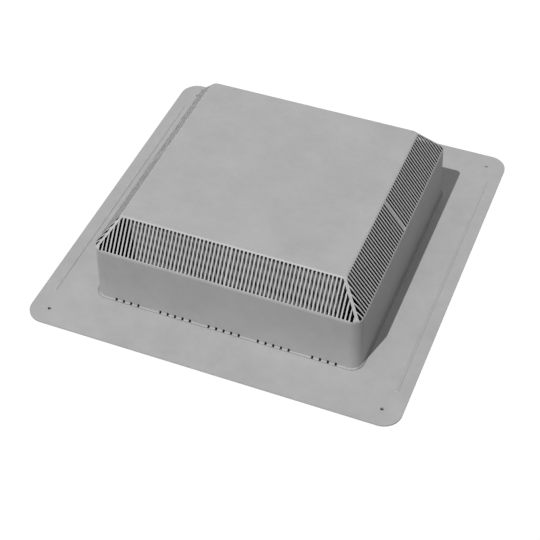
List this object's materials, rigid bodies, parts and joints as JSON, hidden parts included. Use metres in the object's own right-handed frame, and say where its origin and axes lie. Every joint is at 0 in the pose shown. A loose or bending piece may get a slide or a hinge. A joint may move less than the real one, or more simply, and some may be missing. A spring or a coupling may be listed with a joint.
{
  "type": "static roof vent",
  "caption": "Low square roof vent: nail-down flange with a collared throat, louvred hood with sloped slotted sides, inner rain baffle and framed insect screen.",
  "frame": {"origin": "centre of the base flange's underside, on the roof deck", "axes": "+Z away from the deck, +Y uphill towards the rear edge, +X to the right seen from the downhill side"},
  "size_m": [0.46, 0.4716, 0.1154],
  "materials": {
    "moulded_grey": "matte",
    "screen_grey": "matte"
  },
  "bodies": {
    "root": {"base_flange": "moulded_grey", "louvre_hood": "moulded_grey", "rain_baffle": "moulded_grey", "insect_screen": "screen_grey", "screen_frame": "screen_grey"}
  },
  "joints": []
}
